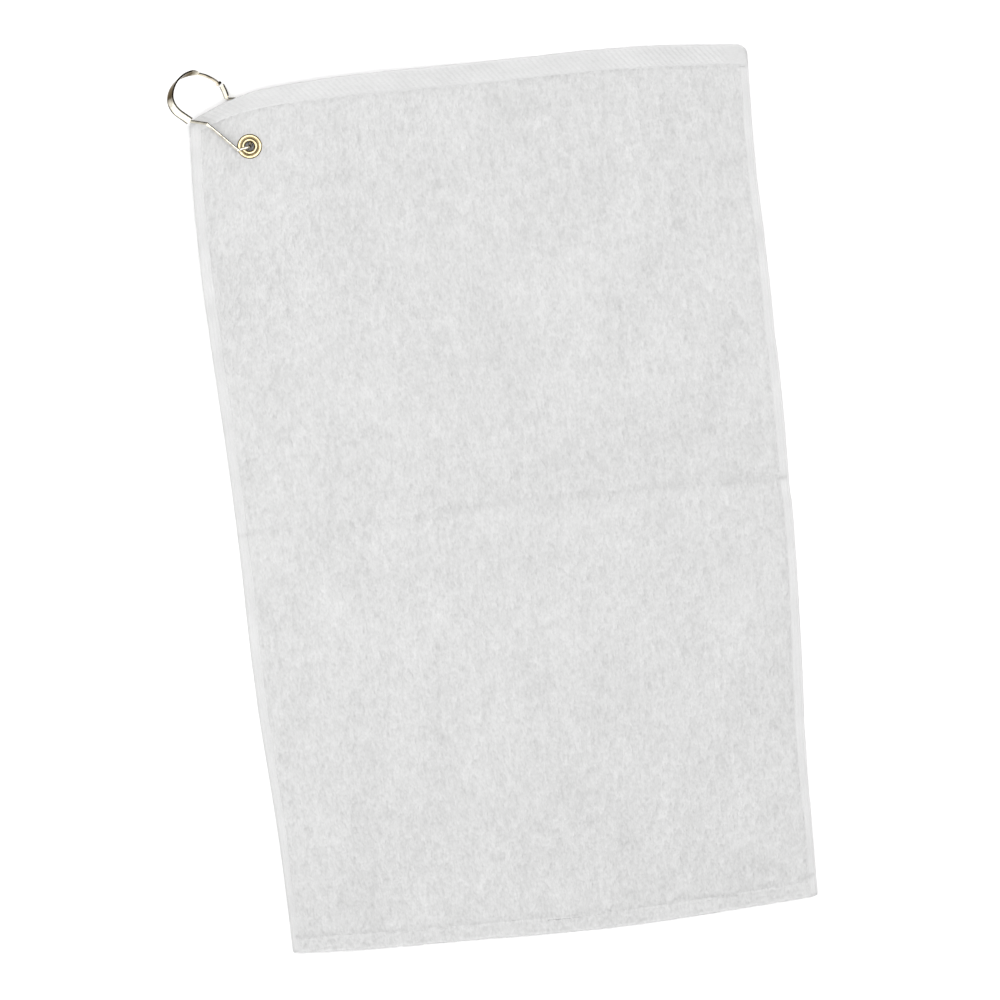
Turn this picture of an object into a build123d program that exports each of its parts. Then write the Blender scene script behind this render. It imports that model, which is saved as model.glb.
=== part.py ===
from build123d import *
import math
import os

# Golf towel: a terry hand towel lying flat, front up, with a brass grommet in one corner
# and a sprung brass clip hanging in the grommet. Millimetres. +X is across the towel,
# +Y runs up its length to the grommet end, +Z is up from the surface it lies on.
# The origin is on that surface, at the middle of the whole object's box.
# Everything is drawn about the middle of the cloth and moved to the origin when written.
CLOTH_MIDDLE = (3.4, -8.2)

# Cloth, a nominal 11 in by 18 in piece.
PILE_THICKNESS = 3.0
HEM_THICKNESS = 2.4
SIDE_HEM_THICKNESS = 2.7
TOP_HEM_WIDTH = 11.3
BOTTOM_HEM_WIDTH = 8.8
LEFT_HEM_WIDTH = 6.2
RIGHT_HEM_WIDTH = 5.2

# Points on the four edges of the lying cloth, which is a little bowed and skewed.
LEFT_EDGE = [(-145.2, 216.5), (-146.9, 188), (-144.0, 0), (-143.4, -90), (-140.4, -150), (-139.0, -221.5)]
BOTTOM_EDGE = [(-139.0, -221.5), (-100, -223.7), (-40, -225.3), (15, -226.6), (100, -223.9), (137.0, -221.8)]
RIGHT_EDGE = [(137.0, -221.8), (139.0, -150), (143.6, -70), (146.0, 0), (146.4, 170), (148.4, 219.5)]
TOP_EDGE = [(144.6, 225.2), (100, 229.6), (0, 231.2), (-95, 230.1), (-111, 228.3), (-145.2, 216.5)]

# Centre fold: the crease across the front face that the towel was packed along.
CREASE_Y = -2.8
CREASE_GAP = 0.1
FOLD_AXIS_CLEARANCE = 0.3

# Grommet, in the corner. The diagonal runs from it out through the corner of the cloth.
GROMMET = (-115.2, 200.1)
DIAGONAL_DEG = 131.7
HOLE_RADIUS = 2.45
BARREL_RADIUS = 2.85
LIP_RADIUS = 4.4
FLANGE_RADIUS = 6.5
PLATE_THICKNESS = 0.4
CRIMPED_THICKNESS = 1.4
BARREL_CLEARANCE = 0.02
CRIMP_MARGIN = 0.4
FLANGE_ROLL = 0.5
FLANGE_BULGE = 0.2
LIP_HEIGHT = 0.75
LIP_CURL = 0.25
WASHER_HEIGHT = 0.62
WASHER_SHOULDER = 0.5
WASHER_RIM = 1.0
DISH_GAP = 0.1

# The clip props the corner of the cloth up. The cloth rises along the diagonal in two
# equal arcs, and is level again from just short of the grommet.
CORNER_LIFT = 9.0
RAMP_START = -87.0
RAMP_END = -12.0

# Sewing thread, in a row near the inner edge of each hem.
THREAD_WIDTH = 0.7
THREAD_HEIGHT = 0.35
THREAD_INSET = 1.2

# Clip: one spring strip. In its own plane, u runs from the grommet to the ring and p across.
# The plane is rolled about u, with the front arm over the cloth and the back arm under it.
CLIP_ROLL_DEG = 35.0
CLIP_PITCH_DEG = 4.8
STRIP_THICKNESS = 0.9
BAND_WIDTH = 6.6
LATCH_BAND_WIDTH = 4.2
ARM_WIDTH = 1.9
TAPER_LENGTH = 5.0
TAPER_END_WIDTH = 2.8
TONGUE_WIDTH = 2.2
TONGUE_THICKNESS = 0.7
LOOP_WIRE_RADIUS = 0.75
LOOP_CORNER = (0.1, 0.8, 2.9)
LOOP_BEND_RADIUS = 1.3
LOOP_OVERLAP = 0.8
ARM_FOOT = (2.6, 6.7)
FRONT_BEND = (24.9, 7.6)
FRONT_NECK = (32.4, 13.6)
NECK_HEADING_DEG = 9.0
NECK_LENGTH = 6.6
FRONT_BEND_RADIUS = 0.55
SIDE_RADIUS = 9.5
SIDE_TURN_DEG = 69.0
CROWN_RADIUS = 19.0
CROWN_TURN_DEG = 60.0
END_TURN_DEG = 30.0
BACK_BEND = (21.8, -16.6)
BACK_NECK = (25.0, -13.0)
BACK_BEND_RADIUS = 0.8
LATCH_START = 1.0
LATCH_OVERLAP = 0.8
LATCH_HEADING_DEG = -37.0
LATCH_RADIUS = 22.0
LATCH_TURN_DEG = 16.0
TONGUE_MIDDLE = (39.7, -15.5)
TONGUE_TIP = (33.5, -16.6)
TIP_ROLL_RADIUS = 0.8
TIP_ROLL_WIDTH = 3.2
TONGUE_ROOT_GAP = 0.4
EDGE_CHAMFER = 0.15

# Lengths that reach past the cloth, for cutting: along an edge, and in any direction.
EDGE_REACH = 30.0
FAR = 400.0

parts = {}


def outline():
    """The flat outline of the whole cloth, seen from above."""
    with BuildSketch() as sketch:
        with BuildLine():
            Spline(*LEFT_EDGE)
            Spline(*BOTTOM_EDGE)
            Spline(*RIGHT_EDGE)
            Line(RIGHT_EDGE[-1], TOP_EDGE[0])
            Spline(*TOP_EDGE)
        make_face()
    return sketch.sketch


def beyond(edge, inset, side):
    """The area outside an edge that has been moved in by inset, on the side that side points to."""
    dx, dy = side
    moved = [(x - dx * inset, y - dy * inset) for x, y in edge]
    first, second, before_last, last = moved[0], moved[1], moved[-2], moved[-1]
    start = stretch(second, first)
    end = stretch(before_last, last)
    with BuildSketch() as sketch:
        with BuildLine():
            Spline(start, *moved[1:-1], end)
            Polyline(
                end,
                (end[0] + dx * FAR, end[1] + dy * FAR),
                (start[0] + dx * FAR, start[1] + dy * FAR),
                start,
            )
        make_face()
    return sketch.sketch


def stretch(before, last):
    """The point that lies past last, in the direction from before."""
    dx, dy = last[0] - before[0], last[1] - before[1]
    length = math.hypot(dx, dy)
    return (last[0] + dx / length * EDGE_REACH, last[1] + dy / length * EDGE_REACH)


def half_plane(y_low, y_high):
    """Everything between two heights across the cloth."""
    return Pos(0, (y_low + y_high) / 2) * Rectangle(2 * FAR, y_high - y_low)


def lifted_layer(low, high):
    """A layer of the cloth between two heights above its underside, with the corner raised."""
    half_run = (RAMP_END - RAMP_START) / 2
    slope = 2 * math.atan2(CORNER_LIFT, RAMP_END - RAMP_START)
    radius = half_run / math.sin(slope)
    turn = math.degrees(slope)
    across = Plane(
        origin=(*GROMMET, 0),
        x_dir=(math.cos(math.radians(DIAGONAL_DEG)), math.sin(math.radians(DIAGONAL_DEG)), 0),
        z_dir=(math.sin(math.radians(DIAGONAL_DEG)), -math.cos(math.radians(DIAGONAL_DEG)), 0),
    )
    with BuildSketch(across) as sketch:
        with BuildLine():
            sides = []
            for height in (low, high):
                flat = Line((-FAR, height), (RAMP_START, height))
                up = JernArc(flat @ 1, (1, 0), radius - height, turn)
                level = JernArc(up @ 1, up % 1, radius + height, -turn)
                sides.append(Line(level @ 1, (FAR, CORNER_LIFT + height)))
            Line((-FAR, low), (-FAR, high))
            Line((FAR, CORNER_LIFT + low), (FAR, CORNER_LIFT + high))
        make_face()
    return extrude(sketch.sketch, amount=FAR, both=True)


def cloth_piece(region, low, high, raised):
    """A region of the cloth as a solid, between two heights above its underside."""
    if raised:
        return extrude(region, amount=2 * (CORNER_LIFT + high)) & lifted_layer(low, high)
    return Pos(0, 0, low) * extrude(region, amount=high - low)


def strip(path, thickness, width):
    """A flat strip that follows a path in its own plane, centred on that plane, with eased edges."""
    blank = Pos(0, 0, -width / 2) * extrude(trace(path, line_width=thickness), amount=width)
    long_edges = blank.edges().filter_by(lambda edge: abs(abs(edge.center().Z) - width / 2) < 1e-6)
    return chamfer(long_edges, EDGE_CHAMFER)


# Hem areas, then what is left for the pile.
whole = outline()
top_area = whole & beyond(TOP_EDGE, TOP_HEM_WIDTH, (0, 1))
bottom_area = whole & beyond(BOTTOM_EDGE, BOTTOM_HEM_WIDTH, (0, -1))
sides_area = whole - top_area - bottom_area
left_area = sides_area & beyond(LEFT_EDGE, LEFT_HEM_WIDTH, (-1, 0))
right_area = sides_area & beyond(RIGHT_EDGE, RIGHT_HEM_WIDTH, (1, 0))
pile_area = sides_area - left_area - right_area
upper_area = half_plane(CREASE_Y, FAR)
lower_area = half_plane(-FAR, CREASE_Y - CREASE_GAP)


def seam(edge, hem_width, side, area):
    """The row of thread on a hem, as one low ridge along the hem's inner edge."""
    outer = beyond(edge, hem_width - THREAD_INSET - THREAD_WIDTH, side)
    inner = beyond(edge, hem_width - THREAD_INSET, side)
    return area & (inner - outer)


top_seam = seam(TOP_EDGE, TOP_HEM_WIDTH, (0, 1), top_area)
bottom_seam = seam(BOTTOM_EDGE, BOTTOM_HEM_WIDTH, (0, -1), bottom_area)
left_seam = seam(LEFT_EDGE, LEFT_HEM_WIDTH, (-1, 0), left_area)
right_seam = seam(RIGHT_EDGE, RIGHT_HEM_WIDTH, (1, 0), right_area)

parts["top_hem"] = cloth_piece(top_area, 0, HEM_THICKNESS, True)
parts["bottom_hem"] = cloth_piece(bottom_area, 0, HEM_THICKNESS, False)
parts["top_seam_thread"] = cloth_piece(top_seam, HEM_THICKNESS, HEM_THICKNESS + THREAD_HEIGHT, True)
parts["bottom_seam_thread"] = cloth_piece(bottom_seam, HEM_THICKNESS, HEM_THICKNESS + THREAD_HEIGHT, False)
for name, hem, thread in (("left", left_area, left_seam), ("right", right_area, right_seam)):
    for half, half_area in (("upper", upper_area), ("lower", lower_area)):
        raised = half == "upper" and name == "left"
        low, high = SIDE_HEM_THICKNESS, SIDE_HEM_THICKNESS + THREAD_HEIGHT
        parts[f"{name}_hem_{half}"] = cloth_piece(hem & half_area, 0, low, raised)
        parts[f"{name}_seam_thread_{half}"] = cloth_piece(thread & half_area, low, high, raised)

# Pile. Round the grommet it is crimped thin, between the two brass plates.
grommet_middle = CORNER_LIFT + PILE_THICKNESS / 2
at_grommet = Pos(*GROMMET, grommet_middle)
hole = at_grommet * Cylinder(BARREL_RADIUS + BARREL_CLEARANCE, 4 * PILE_THICKNESS)
pressed = PILE_THICKNESS - CRIMPED_THICKNESS
recess_height = (CRIMPED_THICKNESS + pressed) / 2
recess = Cylinder(FLANGE_RADIUS + CRIMP_MARGIN, pressed)
above_crimp = at_grommet * Pos(0, 0, recess_height) * recess
below_crimp = at_grommet * Pos(0, 0, -recess_height) * recess
upper_pile = cloth_piece(pile_area & upper_area, 0, PILE_THICKNESS, True)
parts["terry_upper"] = upper_pile - hole - above_crimp - below_crimp
parts["terry_lower"] = cloth_piece(pile_area & lower_area, 0, PILE_THICKNESS, False)


# Grommet. The eyelet's flange is behind the cloth, and its barrel comes through to the front,
# where it is rolled over the washer.
def eyelet():
    """The eyelet: back flange, barrel and the lip rolled over the washer, turned about its axis."""
    half = CRIMPED_THICKNESS / 2
    lip_foot = half + PLATE_THICKNESS
    rim_radius = FLANGE_RADIUS - FLANGE_ROLL
    crest = ((LIP_RADIUS + HOLE_RADIUS) / 2, lip_foot + LIP_HEIGHT)
    with BuildSketch(Plane.XZ) as profile:
        with BuildLine():
            rim = Line((rim_radius, -half), (BARREL_RADIUS, -half))
            wall = Line(rim @ 1, (BARREL_RADIUS, lip_foot))
            under = Line(wall @ 1, (LIP_RADIUS, lip_foot))
            roll = ThreePointArc(under @ 1, crest, (HOLE_RADIUS, lip_foot - LIP_CURL))
            bore = Line(roll @ 1, (HOLE_RADIUS, -half - PLATE_THICKNESS))
            back = Line(bore @ 1, (rim_radius, -half - PLATE_THICKNESS))
            ThreePointArc(back @ 1, (rim_radius + FLANGE_BULGE, -half - PLATE_THICKNESS / 2), rim @ 0)
        make_face()
    return revolve(profile.sketch, axis=Axis.Z)


def washer():
    """The washer: a slightly dished ring under the rolled lip, with a turned-down outer edge."""
    foot = CRIMPED_THICKNESS / 2
    inner = BARREL_RADIUS + BARREL_CLEARANCE
    crest = (FLANGE_RADIUS - WASHER_RIM, foot + WASHER_HEIGHT)
    shoulder = (FLANGE_RADIUS - WASHER_RIM / 3, foot + WASHER_SHOULDER)
    dish_foot = (LIP_RADIUS + DISH_GAP, foot + PLATE_THICKNESS)
    dish_middle = (LIP_RADIUS + WASHER_RIM / 2, foot + WASHER_SHOULDER)
    with BuildSketch(Plane.XZ) as profile:
        with BuildLine():
            base = Line((inner, foot), (FLANGE_RADIUS, foot))
            edge = ThreePointArc(base @ 1, shoulder, crest)
            dish = ThreePointArc(edge @ 1, dish_middle, dish_foot)
            flat = Line(dish @ 1, (inner, foot + PLATE_THICKNESS))
            Line(flat @ 1, base @ 0)
        make_face()
    return revolve(profile.sketch, axis=Axis.Z)


parts["grommet_eyelet"] = at_grommet * eyelet()
parts["grommet_washer"] = at_grommet * washer()

# Clip.
clip_tilt = Rot(0, -CLIP_PITCH_DEG, 0) * Rot(CLIP_ROLL_DEG, 0, 0)
at_clip = at_grommet * Rot(0, 0, DIAGONAL_DEG)


def ring_path():
    """The wide band's centre line, from the front neck round the ring to the tongue's root."""
    with BuildLine() as path:
        neck = PolarLine(FRONT_NECK, NECK_LENGTH, NECK_HEADING_DEG)
        side = JernArc(neck @ 1, neck % 1, SIDE_RADIUS, -SIDE_TURN_DEG)
        crown = JernArc(side @ 1, side % 1, CROWN_RADIUS, -CROWN_TURN_DEG)
        JernArc(crown @ 1, crown % 1, SIDE_RADIUS, -END_TURN_DEG)
    return path.line


def loop_path(front_foot, back_foot):
    """The wire loop's centre line: from the front arm, down through the grommet, to the back arm."""
    u, v, w = LOOP_CORNER
    with BuildLine() as path:
        FilletPolyline(front_foot, (u, v, w), (u, -v, -w), back_foot, radius=LOOP_BEND_RADIUS)
    return path.line


def wire_loop():
    """The round wire that the two arms draw down to, with rounded ends inside the arms."""
    foot_u, foot_p = ARM_FOOT
    feet = [(clip_tilt * Pos(foot_u + LOOP_OVERLAP, side * foot_p)).position for side in (1, -1)]
    path = loop_path(*feet)
    wire = sweep(Plane(path @ 0, z_dir=path % 0) * Circle(LOOP_WIRE_RADIUS), path=path)
    for foot in feet:
        wire += Pos(*foot) * Sphere(LOOP_WIRE_RADIUS)
    return wire


def front_arm():
    """The arm that lies over the cloth, as far as the ring's front neck."""
    with BuildLine() as path:
        into_band = Vector(*FRONT_NECK) + Vector(1, 0).rotate(Axis.Z, NECK_HEADING_DEG)
        FilletPolyline(ARM_FOOT, FRONT_BEND, FRONT_NECK, into_band, radius=FRONT_BEND_RADIUS)
    return strip(path.line, STRIP_THICKNESS, ARM_WIDTH)


def back_arm():
    """The arm that lies under the cloth, and the latch that it carries on to."""
    foot_u, foot_p = ARM_FOOT
    latch_foot = Vector(*BACK_NECK) + Vector(LATCH_START, 0).rotate(Axis.Z, LATCH_HEADING_DEG)
    with BuildLine() as latch_path:
        straight = PolarLine(latch_foot, LATCH_OVERLAP, LATCH_HEADING_DEG)
        JernArc(straight @ 1, straight % 1, LATCH_RADIUS, LATCH_TURN_DEG)
    with BuildLine() as path:
        FilletPolyline((foot_u, -foot_p), BACK_BEND, BACK_NECK, straight @ 1, radius=BACK_BEND_RADIUS)
    narrow = strip(path.line, STRIP_THICKNESS, ARM_WIDTH)
    return narrow + strip(latch_path.line, STRIP_THICKNESS, LATCH_BAND_WIDTH)


def tapered(band, root, heading):
    """The band with its two sides cut away near its end, so that it narrows to the tongue."""
    through = Plane(origin=root, x_dir=heading, z_dir=Vector(heading).rotate(Axis.Z, 90))
    end, start, past = TAPER_END_WIDTH / 2, BAND_WIDTH / 2, BAND_WIDTH
    for side in (1, -1):
        with BuildSketch(through) as cut:
            with BuildLine():
                Polyline(
                    (past, side * end),
                    (0, side * end),
                    (-TAPER_LENGTH, side * start),
                    (-TAPER_LENGTH, side * past),
                    (past, side * past),
                    close=True,
                )
            make_face()
        band -= extrude(cut.sketch, amount=past, both=True)
    return band


def tongue(root, heading):
    """The narrow sprung end of the strip, with its rolled tip."""
    with BuildLine() as path:
        ThreePointArc(root + heading * TONGUE_ROOT_GAP, TONGUE_MIDDLE, TONGUE_TIP)
    tip_roll = Pos(*TONGUE_TIP) * Cylinder(TIP_ROLL_RADIUS, TIP_ROLL_WIDTH)
    return strip(path.line, TONGUE_THICKNESS, TONGUE_WIDTH) + tip_roll


ring = ring_path()
root = ring @ 1
band = tapered(strip(ring, STRIP_THICKNESS, BAND_WIDTH), root, ring % 1)
flat_strip = band + front_arm() + back_arm()
parts["clip_strip"] = at_clip * (clip_tilt * flat_strip + wire_loop())
parts["clip_tongue"] = at_clip * clip_tilt * tongue(root, ring % 1)

to_row = Pos(*CLOTH_MIDDLE, 0)
os.makedirs("parts", exist_ok=True)
for name, shape in parts.items():
    export_step(to_row * shape, f"parts/{name}.step")

whole_box = Compound(children=[to_row * shape for shape in parts.values()]).bounding_box()
tongue_hinge = to_row * at_clip * clip_tilt * Pos(*root)
fold_hinge = to_row * Pos(0, CREASE_Y, PILE_THICKNESS + FOLD_AXIS_CLEARANCE)
print("whole box", whole_box)
print("fold axis", fold_hinge.position)
print("grommet middle", (to_row * at_grommet).position)
tongue_axis = (tongue_hinge * Pos(0, 0, 1)).position - tongue_hinge.position
print("tongue root", tongue_hinge.position, "axis", tongue_axis)
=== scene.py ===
import math

import bmesh
import bpy
import numpy as np
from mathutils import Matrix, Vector


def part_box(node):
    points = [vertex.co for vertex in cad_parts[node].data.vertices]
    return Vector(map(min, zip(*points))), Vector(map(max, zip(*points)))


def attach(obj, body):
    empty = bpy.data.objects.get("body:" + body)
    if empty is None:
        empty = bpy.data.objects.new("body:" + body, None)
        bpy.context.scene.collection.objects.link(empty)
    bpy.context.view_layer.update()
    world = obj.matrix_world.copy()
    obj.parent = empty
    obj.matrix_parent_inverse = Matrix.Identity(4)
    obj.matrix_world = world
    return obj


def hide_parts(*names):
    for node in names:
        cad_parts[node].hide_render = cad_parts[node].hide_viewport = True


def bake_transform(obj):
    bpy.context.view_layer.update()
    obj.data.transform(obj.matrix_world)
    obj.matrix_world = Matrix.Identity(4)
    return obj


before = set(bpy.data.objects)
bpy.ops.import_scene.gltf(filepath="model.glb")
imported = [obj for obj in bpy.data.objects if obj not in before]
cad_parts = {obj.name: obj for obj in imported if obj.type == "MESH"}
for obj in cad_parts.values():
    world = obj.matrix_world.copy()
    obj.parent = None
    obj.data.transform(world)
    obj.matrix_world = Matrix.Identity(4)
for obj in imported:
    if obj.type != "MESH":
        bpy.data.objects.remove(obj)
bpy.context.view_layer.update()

# Golf towel. The cloth is drawn flat in millimetres about its own middle, as the CAD source
# does, and each finished mesh is moved into the row frame, in metres, round the grommet.
# "across" and "up" run from 0 to 1 over the cloth, from its bottom left corner.
MM = 0.001
chance = np.random.default_rng(7)

# The cloth's outline, bottom to top and left to right, and how far its corners are rounded.
LEFT_EDGE = [(-139.0, -221.5), (-140.4, -150), (-143.4, -90), (-144.0, 0), (-146.9, 188), (-145.2, 216.5)]
RIGHT_EDGE = [
    (137.2, -221.8), (139.4, -150), (144.0, -70), (146.6, 0),
    (147.3, 60), (147.1, 130), (146.9, 170), (148.8, 224.9),
]
BOTTOM_EDGE = [(-139.0, -221.5), (-100, -223.7), (-40, -225.3), (15, -226.6), (100, -223.9), (137.0, -221.8)]
TOP_EDGE = [(-145.2, 216.5), (-111, 228.3), (-95, 230.1), (0, 231.2), (100, 229.6), (148.8, 224.9)]
CORNER_ROUNDING = {
    ("left", "bottom"): 1.6,
    ("right", "bottom"): 2.0,
    ("left", "top"): 3.5,
    ("right", "top"): 5.0,
}
FLAT_WIDTH = 290.0
FLAT_LENGTH = 457.0

# Hems. Each one narrows and widens along the cloth: its shares are of its usual width, from the
# bottom or left end to the other. The left hem runs on over the end of the top band.
TOP_HEM = 12.3
BOTTOM_HEM = 8.8
LEFT_HEM = 6.2
RIGHT_HEM = 5.2
TOP_HEM_SHARES = [
    (0.0, 0.7), (0.07, 0.74), (0.19, 0.91), (0.3, 0.96),
    (0.42, 1.0), (0.85, 1.0), (0.95, 0.94), (1.0, 0.98),
]
LEFT_HEM_SHARES = [(0.0, 0.65), (0.12, 0.76), (0.38, 0.92), (0.63, 1.03), (1.0, 1.1)]
RIGHT_HEM_SHARES = [
    (0.0, 0.82), (0.12, 0.92), (0.25, 1.12), (0.38, 0.92),
    (0.63, 1.05), (0.76, 0.9), (1.0, 0.88),
]
HEM_THICKNESS = 2.4
SIDE_HEM_THICKNESS = 2.7
END_ROUNDING = 1.3

# The side hems start at this share of the cloth's length, and stop short of its top edge, in mm.
SIDE_HEM_START = 0.0006
LEFT_HEM_STOP = 2.6
RIGHT_HEM_STOP = TOP_HEM - 1.0

# A painted highlight along a hem's outer edge, as of loose fibres catching the light.
EDGE_HIGHLIGHT_REACH = 0.9
EDGE_HIGHLIGHT_COLOUR = (0.74, 0.74, 0.74, 1.0)

# Slanted ribs of the top band. They stop short of the band's right end.
RIB_PITCH = 2.9
RIB_SLANT = math.radians(40)
RIBS_STOP = 140.0

# Seams: the valley that each row of stitches draws in, near its hem's inner edge, and its stitches.
SEAM_INSET = 1.0
TOP_VALLEY = 0.3
BOTTOM_VALLEY = 0.3
SIDE_VALLEY = 0.1
STITCH_PITCH = 2.7
STITCH_LENGTH = 2.2
STITCH_SIDES = 6
STITCH_RINGS = 7
THREAD_RADIUS = 0.2
FRONT_STITCH_SINK = 0.35
BACK_STITCH_HEIGHT = 0.52

# Pile. It goes on under the hems, and sinks to its rim heights there.
PILE_TOP = 2.75
PILE_TUCK = 3.0
PILE_COLUMNS = 241
PILE_ROWS = 301
FRONT_RIM = 1.45
BACK_RIM = 0.95

# Marks in the pile: the crease's line and depth across the middle, and threads pulled in straight lines.
CREASE_LINE = [
    (-140, -1.5), (-84, -1.0), (-60, -4.3), (-36, 0.0),
    (12, 0.3), (60, -1.0), (84, -0.2), (140, -1.9),
]
CREASE_DEPTH = [
    (-140, 0.8), (-84, 0.35), (-60, 0.65), (-24, 1.0),
    (24, 0.55), (60, 0.9), (72, 0.5), (140, 1.25),
]
CREASE_WIDTH = 1.1
CREASE_HOLLOW = 5.0
PULL_WIDTH = 0.8
PULLED_THREADS = [
    ((-109.7, 183.1), (-106.3, 175.4)),
    ((128.5, -212.8), (136.0, -210.6)),
    ((62.0, -215.9), (95.0, -216.6)),
    ((-136.0, -213.3), (-116.0, -214.2)),
]

# The cloth lies loosely on the table, except near the brass.
SLACK_HEIGHT = 0.9
SLACK_LIMIT = 2.4
SLACK_START = 42.0
SLACK_FULL = 90.0

# The corner is propped up by the clip, along the diagonal through the grommet.
GROMMET = (-115.2, 200.1)
DIAGONAL = math.radians(131.7)
CORNER_LIFT = 9.0
RAMP_START = -87.0
RAMP_END = -12.0

# The grommet crimps the pile between its flange and its washer. The pile's hole is cut through the
# squares within HOLE_CUT, and its points are pushed out to HOLE_RADIUS. The groove is where the
# washer meets the eyelet's lip, and where shade is painted on the brass.
CRIMP_LOW = 0.8
CRIMP_HIGH = 2.2
FLANGE_RADIUS = 6.5
GROOVE_RADIUS = 4.7
HOLE_CUT = 4.2
HOLE_RADIUS = 3.3

# The clip's own directions: across its strip, out from the grommet to the ring's far end, and sideways.
CLIP_ACROSS = (0.474, 0.330, 0.816)
CLIP_OUTWARDS = (-0.663, 0.744, 0.084)
CLIP_SIDEWAYS = (-0.580, -0.581, 0.572)
GLANCING_TINT = (0.55, 0.5, 0.42, 1.0)

# Studio: the dark screen's direction, and a long lens looking straight down.
SCREEN_DIRECTION = (0.774, 0.539, 0.333)
LENS = 400.0
SENSOR_WIDTH = 36.0
FRAME_WIDTH = 0.523
AIM = (-0.0021, -0.006)
CAMERA_TURN_DEG = -6.3


def middle(cad_node):
    """The middle of a CAD node's box, in the row frame."""
    low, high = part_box(cad_node)
    return (low + high) / 2


cloth_middle = np.array(middle("grommet_eyelet")[:2]) - np.array(GROMMET) * MM


# ---- lines and fields over the flat cloth ----


def smooth_line(points, count=900):
    """count points evenly spaced along a natural cubic spline through the given points."""
    p = np.array(points, float)
    along = np.concatenate([[0], np.cumsum(np.linalg.norm(np.diff(p, axis=0), axis=1))])
    gap = np.diff(along)
    last = len(p) - 1
    system = np.eye(len(p))
    right = np.zeros_like(p)
    for i in range(1, last):
        system[i, i - 1 : i + 2] = gap[i - 1], 2 * (gap[i - 1] + gap[i]), gap[i]
        right[i] = 6 * ((p[i + 1] - p[i]) / gap[i] - (p[i] - p[i - 1]) / gap[i - 1])
    bend = np.linalg.solve(system, right)
    at = np.linspace(0, along[-1], count)
    i = np.clip(np.searchsorted(along, at, side="right") - 1, 0, last - 1)
    a = ((along[i + 1] - at) / gap[i])[:, None]
    b = 1 - a
    curve = ((a**3 - a) * bend[i] + (b**3 - b) * bend[i + 1]) * (gap[i] ** 2)[:, None] / 6
    return a * p[i] + b * p[i + 1] + curve


def evenly(line):
    """A function from 0..1 to the point that share of the way along a line."""
    along = np.concatenate([[0], np.cumsum(np.linalg.norm(np.diff(line, axis=0), axis=1))])
    share = along / along[-1]
    return lambda t: np.stack([np.interp(t, share, line[:, k]) for k in range(2)], axis=-1)


left_at = evenly(smooth_line(LEFT_EDGE))
right_at = evenly(smooth_line(RIGHT_EDGE))
bottom_at = evenly(smooth_line(BOTTOM_EDGE))
top_at = evenly(smooth_line(TOP_EDGE))


def drawn_in(across, up):
    """The same places, drawn in a little towards the middle at the cloth's four rounded corners."""
    for (side, end), radius in CORNER_ROUNDING.items():
        from_side = (across if side == "left" else 1 - across) * FLAT_WIDTH
        from_end = (up if end == "bottom" else 1 - up) * FLAT_LENGTH
        a = np.clip(radius - from_side, 0, None)
        b = np.clip(radius - from_end, 0, None)
        excess = 1 - np.maximum(a, b) / np.maximum(np.hypot(a, b), 1e-9)
        across = across + a * excess / FLAT_WIDTH * (1 if side == "left" else -1)
        up = up + b * excess / FLAT_LENGTH * (1 if end == "bottom" else -1)
    return across, up


def cloth_xy(across, up):
    """Where a point of the cloth lies, in mm: the patch between its four edges."""
    across, up = drawn_in(*np.broadcast_arrays(across, up))
    u, v = across[..., None], up[..., None]
    sides = (1 - v) * bottom_at(across) + v * top_at(across) + (1 - u) * left_at(up) + u * right_at(up)
    corners = (
        (1 - u) * (1 - v) * left_at(0.0)
        + u * (1 - v) * right_at(0.0)
        + (1 - u) * v * left_at(1.0)
        + u * v * right_at(1.0)
    )
    return sides - corners


def step(value, low, high):
    """0 below low, 1 above high, and smooth between."""
    t = np.clip((value - low) / (high - low), 0, 1)
    return t * t * (3 - 2 * t)


def dip(distance, width):
    """A smooth bump of height 1, about two widths across."""
    return np.exp(-((distance / width) ** 2))


def share_at(shares, along):
    """How wide a hem is at a share of the way along it, as a share of its usual width."""
    return np.interp(along, *zip(*shares))


def pulled_threads(x, y):
    """Where a thread is pulled in and draws the cloth down: a smooth mark of height 1 along each one. The
    mark also darkens the colour there, as painted shade.
    """
    marks = 0 * x
    for start, end in PULLED_THREADS:
        start, run = np.array(start), np.subtract(end, start)
        t = np.clip(((x - start[0]) * run[0] + (y - start[1]) * run[1]) / run.dot(run), 0, 1)
        away = np.hypot(x - start[0] - t * run[0], y - start[1] - t * run[1])
        marks = np.maximum(marks, dip(away, PULL_WIDTH))
    return marks


class Field:
    """Smooth random values over the cloth, about -1 to 1, with features of a given size in mm."""

    def __init__(self, size_x, size_y):
        self.size = size_x, size_y
        columns, rows = int(360 / size_x) + 4, int(520 / size_y) + 4
        self.values = chance.normal(0, 0.6, (rows, columns))

    def __call__(self, x, y):
        u = np.clip((x + 180) / self.size[0], 0, self.values.shape[1] - 2.001)
        v = np.clip((y + 260) / self.size[1], 0, self.values.shape[0] - 2.001)
        i, j = u.astype(int), v.astype(int)
        s, t = u - i, v - j
        s, t = s * s * (3 - 2 * s), t * t * (3 - 2 * t)
        low = self.values[j, i] * (1 - s) + self.values[j, i + 1] * s
        high = self.values[j + 1, i] * (1 - s) + self.values[j + 1, i + 1] * s
        return low * (1 - t) + high * t


slack = Field(70, 95)
puckers = Field(24, 30)
crease_wander = Field(28, 400)
crease_strength = Field(45, 400)


def from_grommet(x, y):
    """How far a place on the cloth is from the grommet's axis, in mm."""
    return np.hypot(x - GROMMET[0], y - GROMMET[1])


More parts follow.
